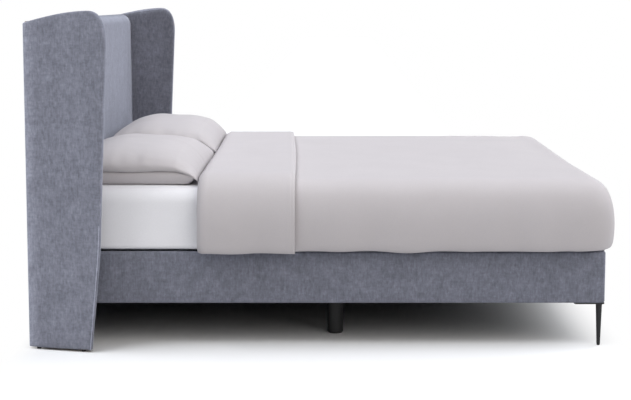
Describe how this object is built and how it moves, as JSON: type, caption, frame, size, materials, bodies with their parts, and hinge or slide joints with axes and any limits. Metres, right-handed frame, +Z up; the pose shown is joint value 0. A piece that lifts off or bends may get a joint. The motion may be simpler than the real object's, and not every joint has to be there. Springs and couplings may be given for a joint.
{
  "type": "box spring bed",
  "caption": "Double box spring bed with a winged upholstered headboard, a sprung base on slim metal legs, a mattress, a duvet with its head end folded back, and stacked pillows.",
  "frame": {"origin": "on the floor, under the middle of the whole bed's bounding box", "axes": "+X from the headboard to the foot, +Y to the left of someone lying in the bed, +Z up"},
  "size_m": [2.145, 2.029, 1.2256],
  "materials": {
    "upholstery": "matte",
    "lining": "matte",
    "sheet": "matte",
    "duvet": "matte",
    "pillow": "matte",
    "foam": "matte",
    "springs": "matte",
    "felt": "matte",
    "timber": "matte",
    "board": "matte",
    "black_metal": "satin",
    "black_plastic": "matte",
    "steel": "satin"
  },
  "bodies": {
    "bed": {"base_centre_beams": "timber", "base_corner_blocks": "timber", "base_cover_foot": "upholstery", "base_cover_head": "upholstery", "base_cover_left": "upholstery", "base_cover_right": "upholstery", "base_cross_beam": "timber", "base_deck_cloth": "lining", "base_dust_cloth": "lining", "base_foam_pad": "foam", "base_foot_rail": "timber", "base_head_rail": "timber", "base_ledgers": "timber", "base_padding_foot": "foam", "base_padding_left": "foam", "base_padding_right": "foam", "base_side_rail_left": "timber", "base_side_rail_right": "timber", "base_slats": "timber", "base_spring_strips": "springs", "floor_glides": "black_plastic", "foot_leg_glides": "black_plastic", "foot_leg_left": "black_metal", "foot_leg_right": "black_metal", "headboard_back_cloth": "lining", "headboard_board": "board", "headboard_bolts": "steel", "headboard_bottom_rail": "timber", "headboard_centre_stiles": "timber", "headboard_cover": "upholstery", "headboard_foam": "foam", "headboard_middle_rail": "timber", "headboard_stile_left": "timber", "headboard_stile_right": "timber", "headboard_top_rail": "timber", "leg_plate_screws": "steel", "support_leg_felts": "felt", "support_leg_head_left": "black_plastic", "support_leg_head_right": "black_plastic", "support_leg_middle_left": "black_plastic", "support_leg_middle_right": "black_plastic", "support_leg_studs": "steel", "support_legs_centre": "black_plastic", "wing_bolts": "steel", "wing_core_left": "board", "wing_core_right": "board", "wing_cover_left": "upholstery", "wing_cover_right": "upholstery", "wing_foam_left": "foam", "wing_foam_right": "foam"},
    "mattress": {"mattress_bottom_foam": "foam", "mattress_top_foam": "foam", "mattress_border": "foam", "mattress_spring_core": "springs", "fitted_sheet": "sheet"},
    "duvet": {"duvet": "duvet"},
    "pillow_lower_right": {"pillow_lower_right": "pillow"},
    "pillow_lower_left": {"pillow_lower_left": "pillow"},
    "pillow_upper_right": {"pillow_upper_right": "pillow"},
    "pillow_upper_left": {"pillow_upper_left": "pillow"}
  },
  "joints": [
    {"name": "mattress_lift", "type": "slide", "parent": "bed", "child": "mattress", "axis": [0, 0, 1], "range_m": [0, 0.3]},
    {"name": "duvet_lift", "type": "slide", "parent": "mattress", "child": "duvet", "axis": [0, 0, 1], "range_m": [0, 0.3]},
    {"name": "pillow_lower_right_lift", "type": "slide", "parent": "mattress", "child": "pillow_lower_right", "axis": [0, 0, 1], "range_m": [0, 0.2]},
    {"name": "pillow_lower_left_lift", "type": "slide", "parent": "mattress", "child": "pillow_lower_left", "axis": [0, 0, 1], "range_m": [0, 0.2]},
    {"name": "pillow_upper_right_lift", "type": "slide", "parent": "pillow_lower_right", "child": "pillow_upper_right", "axis": [0, 0, 1], "range_m": [0, 0.2]},
    {"name": "pillow_upper_left_lift", "type": "slide", "parent": "pillow_lower_left", "child": "pillow_upper_left", "axis": [0, 0, 1], "range_m": [0, 0.2]}
  ]
}
